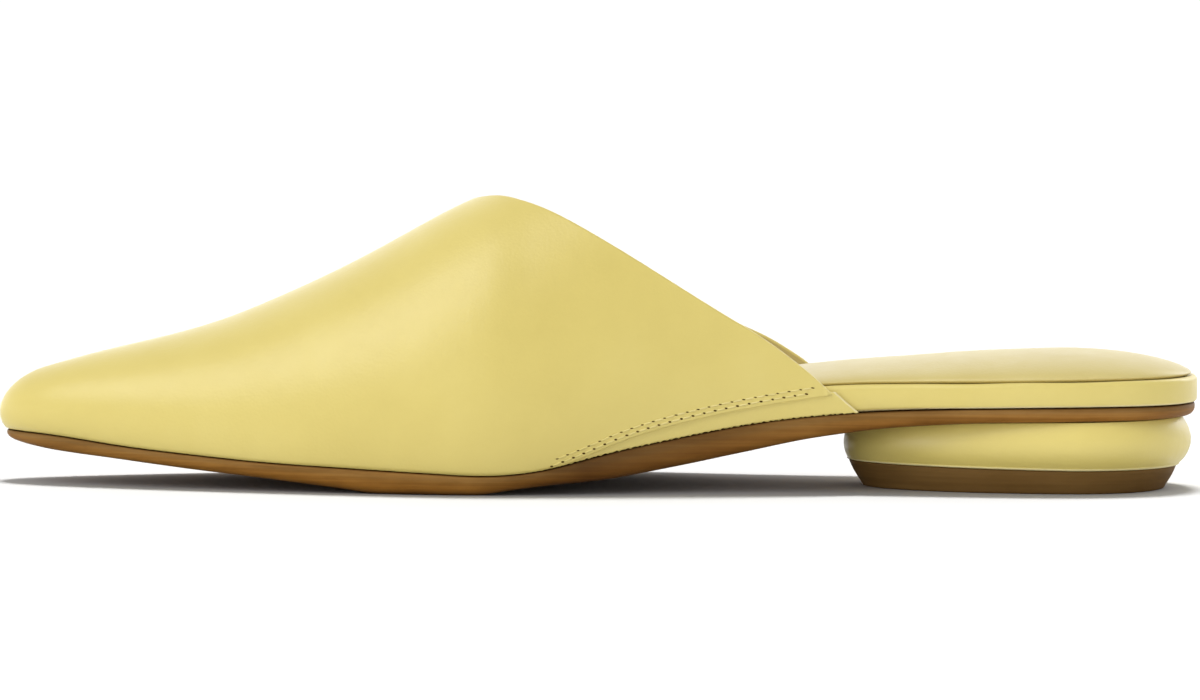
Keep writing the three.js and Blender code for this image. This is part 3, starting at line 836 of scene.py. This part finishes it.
def rounded_edge(net, outer, inner, outer_points, inner_points):
    """Joins two rows of points by a half round that bulges out of the sheet."""
    middle = (outer_points + inner_points) / 2
    across_edge = (outer_points - inner_points) / 2
    way = unit(np.gradient(outer_points, axis=0))
    out = unit(np.cross(way, across_edge))
    size = np.linalg.norm(across_edge, axis=-1, keepdims=True)
    rows = [outer]
    for step in range(1, EDGE_STEPS):
        angle = np.pi * step / EDGE_STEPS
        bulge = out * size * EDGE_ROUND * math.sin(angle)
        rows.append(net.add(middle + across_edge * math.cos(angle) + bulge))
    rows.append(inner)
    net.web(np.stack(rows, 1))


def vamp():
    """The upper: a leather wall with a lining, a rounded topline and pale cut lower edges."""
    start = throat_turn()
    sides = []
    for sign in (-1, 1):
        end = wing_end(sign, lambda turns: topline_rise(turns, EDGE_BACK) - seam_rise(turns))
        front = sign * np.linspace(0, start, VAMP_FRONT_RIBS + 1)
        rear = sign * (start + (abs(end) - start) * np.linspace(0, 1, VAMP_REAR_RIBS + 1)[1:] ** 1.5)
        sides.append(np.concatenate([front, rear]))
    turns = np.concatenate([sides[0][:0:-1], sides[1]])
    low = np.where(station_of(turns) < SEAM_START * LENGTH, 0.0, seam_rise(turns))
    high = np.where(np.abs(turns) <= start + 1e-9, 1.0, topline_rise(turns, EDGE_BACK))
    high = np.maximum(high, low + 1e-4)
    share = np.linspace(0, 1, VAMP_ROWS)
    share = 0.6 * share + 0.4 * share_of(share)
    rise = low[:, None] + (high - low)[:, None] * share[None, :]
    grid = turns[:, None] + 0 * rise
    face = upper_point(grid, rise)
    back = face - upper_normal(grid, rise) * WALL
    net = Net()
    skin = net.add(face)
    lining = net.add(back)
    middle = len(sides[0]) - 1
    # Ahead of the throat both sides share the points of the ridge.
    for i in range(1, VAMP_FRONT_RIBS + 1):
        skin[middle + i, -1] = skin[middle - i, -1]
        lining[middle + i, -1] = lining[middle - i, -1]
    net.web(skin)
    net.web(lining, 1)
    rows = np.r_[0 : middle - VAMP_FRONT_RIBS + 1, middle + VAMP_FRONT_RIBS + 1 : len(turns)]
    rounded_edge(net, skin[rows, -1], lining[rows, -1], face[rows, -1], back[rows, -1])
    net.web(np.stack([skin[:, 0], lining[:, 0]], 1), 2)
    for end in (0, -1):
        net.web(np.stack([skin[end], lining[end]], 1), 2)
    return net.piece("vamp_leather", [yellow, lining_tan, cut_edge_and_lip_highlight], ["vamp"])


def strip_rise(turns, past, least):
    """Rise of the strip's upper edge: tucked under the vamp, then cut a distance past the topline."""
    cut = np.minimum(seam_rise(turns, STRIP_TUCK), topline_rise(turns, -past))
    return np.maximum(cut, least)


def side_strip(sign, name, node):
    """Strip under the vamp's rear edge, with a ragged lower edge and a pale bevelled end."""
    end = wing_end(sign, lambda turns: topline_rise(turns, -STRIP_PAST) - 1e-3)
    turns = sign * np.linspace(turn_at(SEAM_START * LENGTH), abs(end), STRIP_RIBS)
    high = strip_rise(turns, STRIP_PAST - STRIP_BEVEL, 1e-4)
    far = strip_rise(turns, STRIP_PAST, 2e-4)
    share = np.linspace(0, 1, STRIP_ROWS)[None, :]
    grid = turns[:, None] + 0 * share
    face = upper_point(grid, high[:, None] * share)
    normal = upper_normal(grid, high[:, None] * share)
    behind = upper_point(grid, far[:, None] * share)
    under = upper_normal(grid, far[:, None] * share)
    s = station_of(turns)
    face[:, 0, 2] += ripple(s, (0.09, 1.31, 0), (0.06, 2.17, 1), (0.05, 0.83, 2)) - 0.05
    net = Net()
    skin = net.add(face - normal * STRIP_DEPTH[0])
    back = net.add(behind - under * STRIP_DEPTH[1])
    bevel = net.add(behind[:, -1] - under[:, -1] * (STRIP_DEPTH[0] + STRIP_BEVEL_DEPTH))
    net.web(skin)
    net.web(back, 1)
    net.web(np.stack([skin[:, 0], back[:, 0]], 1), 1)
    net.web(np.stack([skin[0], back[0]], 1), 1)
    net.web(np.stack([skin[-1], back[-1]], 1), 1)
    net.web(np.stack([skin[:, -1], bevel, back[:, -1]], 1), 1)
    return net.piece(name, [yellow, cut_edge_and_lip_highlight], [node])


# Heel


def egg_loop(egg, grow=0.0):
    """Plan loop of the heel from its front, back and half width, moved outwards by grow."""
    front, back, half = egg
    angle = np.linspace(0, 2 * np.pi, HEEL_SIDES, endpoint=False)
    length = np.where(np.cos(angle) < 0, HEEL_WIDEST - front, back - HEEL_WIDEST)
    station = HEEL_WIDEST + length * np.cos(angle)
    normal = unit(np.stack([np.cos(angle) / length, np.sin(angle) / half], -1))
    size = grow(station, angle) if callable(grow) else np.full_like(station, grow)
    return np.stack([station, half * np.sin(angle)], -1) + normal * size[:, None]


def egg_stack(net, levels, kinds=None):
    """Walls between egg loops, lowest first, closed by shrinking copies of the end loops."""
    rings = [net.add(spots(plan[:, 0], plan[:, 1], up(plan[:, 0]))) for plan, up in levels]
    for r, (low, high) in enumerate(zip(rings, rings[1:])):
        net.web(np.stack([low, high], 1), kinds[r] if kinds else 0, closed=True)
    centre = np.array([HEEL_WIDEST, 0])
    for ring, (plan, up) in ((rings[0], levels[0]), (rings[-1], levels[-1])):
        for share in (0.9, 0.7, 0.45, 0.2):
            inside = centre + (plan - centre) * share
            smaller = net.add(spots(inside[:, 0], inside[:, 1], up(inside[:, 0])))
            net.web(np.stack([ring, smaller], 1), closed=True)
            ring = smaller
        net.fan(ring, net.add(spots(HEEL_WIDEST, 0.0, up(np.array(HEEL_WIDEST)))).item())


def lift_top(station):
    ahead = np.maximum(0, HEEL_WIDEST - station) / (HEEL_WIDEST - LIFT_TOP[0])
    return LIFT_HEIGHT + LIFT_FRONT_RISE * ahead


def heel_lift():
    """Hard tread of the heel, spreading upwards, with a small round at the floor."""
    levels = [(egg_loop(LIFT_TREAD, -inset), level_at(up)) for inset, up in TREAD_ROUND]
    for share in (0.05, 0.25, 0.5, 0.75, 0.95):
        egg = tuple(a + (b - a) * share for a, b in zip(LIFT_TREAD, LIFT_TOP))
        height = between(level_at(TREAD_ROUND_TOP), lift_top, share)
        levels.append((egg_loop(egg, 0.25 * math.sin(math.pi * share)), height))
    levels.append((egg_loop(LIFT_TOP, -0.12), lift_top))
    net = Net()
    egg_stack(net, levels)
    return net.piece("heel_lift_rubber", [lift_brown], ["heel_lift"])


def roll_foot(station):
    return lift_top(station) + ROLL_FOOT_GAP


def roll_top(station):
    return tread_height(station) - ROLL_TOP_GAP


def roll_growth(share):
    """How far the roll stands out, a share of the way up, by station and angle round the heel."""
    front, back, _ = LIFT_TOP
    swell = math.sin(math.pi * ROLL_CLOSE * max(share, 1e-6) ** 0.85)
    lip = ROLL_LIP * math.exp(-((share - 0.02) / 0.02) ** 2)
    fade = (1 - share) * min(1.0, 6 * share)

    def grow(station, angle):
        size = ROLL_BULGE[0] + (ROLL_BULGE[1] - ROLL_BULGE[0]) * (station - front) / (back - front)
        ends = np.abs(np.cos(angle)) ** 6
        way_round = angle * GATHER_RADIUS
        gather = ripple(way_round, (0.1, 2.3, 0.3), (0.07, 1.37, 1.1), (0.05, 0.9, 2.0))
        sag = ripple(way_round, (0.06, 31.0, 0.5), (0.05, 17.0, 2.1))
        return swell * (size + sag) + lip + ends * gather * fade

    return grow


def heel_roll():
    """Leather roll round the heel: a turned lip on the lift, coloured pale as a painted highlight along
    its fold, small gathers at both ends, and a groove under the sole."""
    shares = share_of(np.linspace(0, 1, ROLL_LEVELS))
    levels = []
    for share in shares:
        levels.append((egg_loop(LIFT_TOP, roll_growth(share)), between(roll_foot, roll_top, share)))
    net = Net()
    # The lowest bands take the pale cut-edge leather as a painted highlight along the lip's fold.
    egg_stack(net, levels, [1 if share < 0.03 else 0 for share in shares])
    return net.piece("heel_roll_leather", [yellow, cut_edge_and_lip_highlight], ["heel_roll"])


# Stitching


def seam_line(sign, lift):
    """Points on the vamp a height above the side seam, their normals, and the length up to each."""
    first, last = STITCH_REACH
    turns = sign * np.linspace(turn_at(first * LENGTH), turn_at(last * LENGTH), 500)
    rise = seam_rise(turns, lift)
    path = upper_point(turns, rise)
    normal = upper_normal(turns, rise)
    gone = np.concatenate([[0], np.cumsum(np.linalg.norm(np.diff(path, axis=0), axis=1))])
    return path, normal, gone


def sample(path, gone, where):
    return np.stack([np.interp(where, gone, path[:, k]) for k in range(3)], -1)


def stitching(sign, side):
    """Two rows of dark needle-hole marks of painted shade, with thread between them, along one side's
    seam.
    """
    threads = Net()
    hole_shade_marks = Net()
    for lift, shift, width in STITCH_ROWS:
        path, normal, gone = seam_line(sign, lift)
        starts = np.arange(STITCH_START + shift * STITCH_PITCH, gone[-1] - STITCH_STOP, STITCH_PITCH)
        for k, at in enumerate(starts):
            place = at + 0.1 * math.sin(7.3 * k + 40 * lift)
            length = HOLE_LENGTH + 0.05 * math.sin(3.1 * k)
            add_hole_shade(hole_shade_marks, path, normal, gone, place, length, width)
            end = at + STITCH_PITCH
            if end < gone[-1]:
                add_thread(threads, path, normal, gone, place + THREAD_END_GAP, end - THREAD_END_GAP)
    threads.piece(f"stitch_thread_{side}", [thread_yellow])
    hole_shade_marks.piece(f"stitch_holes_{side}", [hole_painted_shade])


def add_thread(net, path, normal, gone, start, end):
    where = np.linspace(start, end, 9)
    hump = np.sin(np.pi * np.linspace(0, 1, 9)) ** 0.5
    out = unit(sample(normal, gone, where))
    middle = sample(path, gone, where) + out * (hump * THREAD_RISE - THREAD_SUNK)[:, None]
    way = unit(np.gradient(middle, axis=0))
    side = np.cross(way, out)
    angle = np.linspace(0, 2 * np.pi, 8, endpoint=False)
    thick = THREAD_RADIUS * (0.6 + 0.4 * hump)
    ring = np.cos(angle)[None, :, None] * side[:, None]
    ring = ring + np.sin(angle)[None, :, None] * out[:, None]
    tube = net.add(middle[:, None] + ring * thick[:, None, None])
    net.web(tube.T, closed=True)
    for end in (0, -1):
        net.fan(tube[end], net.add(middle[end][None])[0])


# Each mark is a dark patch of painted shade where a needle hole is, at the leather's face.
def add_hole_shade(net, path, normal, gone, at, length, width):
    middle = sample(path, gone, np.array([at]))[0]
    out = unit(sample(normal, gone, np.array([at])))[0]
    way = unit(sample(path, gone, np.array([at + 0.1])) - middle)[0]
    side = np.cross(way, out)
    angle = np.linspace(0, 2 * np.pi, 12, endpoint=False)
    along_hole = np.cos(angle)[:, None] * (way + HOLE_SLANT * side) * length
    across_hole = np.sin(angle)[:, None] * side * width
    rings = []
    for size, lift in HOLE_RINGS:
        rings.append(net.add(middle + (along_hole + across_hole) * size + out * lift))
    net.web(np.stack(rings, 1), closed=True)
    for ring, (_, lift) in ((rings[-1], HOLE_RINGS[-1]), (rings[0], HOLE_RINGS[0])):
        net.fan(ring, net.add((middle + out * lift)[None])[0])


outsole()
footbed()
sock_pad()
vamp()
side_strip(-1, "side_strip_inner_leather", "side_strip_inner")
side_strip(1, "side_strip_outer_leather", "side_strip_outer")
heel_pieces = [heel_lift(), heel_roll()]
stitching(-1, "inner")
stitching(1, "outer")


# Floor, light and camera, in metres

FLOOR_HALF = 60.0


def floor():
    size = FLOOR_HALF
    corners = [(-size, -size, 0), (size, -size, 0), (size, size, 0), (-size, size, 0)]
    mesh = bpy.data.meshes.new("floor")
    mesh.from_pydata(corners, [], [(0, 1, 2, 3)])
    material, _, shader = new_material("floor_pale")
    shader.inputs["Base Color"].default_value = (0.52, 0.52, 0.52, 1)
    shader.inputs["Roughness"].default_value = 0.8
    shader.inputs["Specular IOR Level"].default_value = 0.0
    mesh.materials.append(material)
    thing = bpy.data.objects.new("floor", mesh)
    bpy.context.collection.objects.link(thing)
    return thing


def aim(thing, target, roll=0.0):
    way = Vector(target) - thing.location
    facing = way.to_track_quat("-Z", "Y").to_matrix()
    thing.rotation_euler = (facing @ Matrix.Rotation(roll, 3, "Z")).to_euler()


def area_light(name, place, target, size, power):
    data = bpy.data.lights.new(name, "AREA")
    data.shape = "RECTANGLE"
    data.size, data.size_y = size
    data.energy = power
    thing = bpy.data.objects.new(name, data)
    thing.location = place
    bpy.context.collection.objects.link(thing)
    aim(thing, target)


def sun_light(name, towards, strength, spread_angle):
    data = bpy.data.lights.new(name, "SUN")
    data.energy = strength
    data.angle = math.radians(spread_angle)
    thing = bpy.data.objects.new(name, data)
    bpy.context.collection.objects.link(thing)
    aim(thing, towards)
    return thing


def light_only(light, things, state):
    """The light falls on these things alone (INCLUDE) or on all but them (EXCLUDE)."""
    receivers = bpy.data.collections.new(light.name + "_receivers")
    for thing in things:
        receivers.objects.link(thing)
    for entry in receivers.collection_objects:
        entry.light_linking.link_state = state
    light.light_linking.receiver_collection = receivers


ground = floor()
light_only(sun_light("key_sky", (0.43, 0.42, -0.78), 1.35, 40), [ground], "EXCLUDE")
light_only(sun_light("floor_sky", (0.0, -0.3, -0.95), 4.3, 14), [ground], "INCLUDE")
light_only(sun_light("heel_fill", (0.75, 0.62, 0.05), 0.75, 30), heel_pieces, "INCLUDE")
area_light("back_strip", (0.7, 0.7, 0.5), (0.05, 0, 0.03), (0.3, 0.6), 2.0)


def grey(value):
    return (value, value, value)


def studio_sky():
    """Glow that is strongest at the horizon, at the back and, a little, ahead of the toe."""
    world = bpy.data.worlds.new("studio")
    world.use_nodes = True
    sky = world.node_tree
    way = add_node(sky, "ShaderNodeTexCoord").outputs["Generated"]
    split = add_node(sky, "ShaderNodeSeparateXYZ", {"Vector": way})
    horizon = ramp(sky, split.outputs["Z"], (0.0, grey(1.25)), (0.35, grey(0.8)), (1.0, grey(0.5)))
    back = ramp(sky, split.outputs["Y"], (0.3, grey(0.0)), (1.0, grey(0.8)))
    inputs = {"Value": split.outputs["X"], "From Min": -1.0, "From Max": 1.0}
    toe_to_heel = add_node(sky, "ShaderNodeMapRange", inputs).outputs["Result"]
    side = ramp(sky, toe_to_heel, (0.0, grey(1.08)), (0.5, grey(1.0)), (1.0, grey(0.86)))
    both = add_node(sky, "ShaderNodeVectorMath", {0: horizon, 1: back}, operation="ADD")
    inputs = {0: both.outputs["Vector"], 1: side}
    glow = add_node(sky, "ShaderNodeVectorMath", inputs, operation="MULTIPLY")
    sky.links.new(glow.outputs["Vector"], sky.nodes["Background"].inputs["Color"])
    return world


bpy.context.scene.world = studio_sky()
bpy.context.scene.view_settings.view_transform = "Standard"

# The photo's camera is taken as 1.6 m away and 4.5 degrees above the sole, with 271 mm across the frame.
DISTANCE = 1.6
ELEVATION = math.radians(4.5)
FRAME_WIDTH = 0.27105
SENSOR_WIDTH = 36
AIMED_AT = (0.0003, 0, 0.0301)
CAMERA_ROLL = 0.0063
camera_data = bpy.data.cameras.new("camera")
camera_data.sensor_width = SENSOR_WIDTH
camera_data.lens = SENSOR_WIDTH * DISTANCE / FRAME_WIDTH
camera = bpy.data.objects.new("camera", camera_data)
camera.location = (0, -DISTANCE * math.cos(ELEVATION), DISTANCE * math.sin(ELEVATION))
bpy.context.collection.objects.link(camera)
aim(camera, AIMED_AT, CAMERA_ROLL)
bpy.context.scene.camera = camera
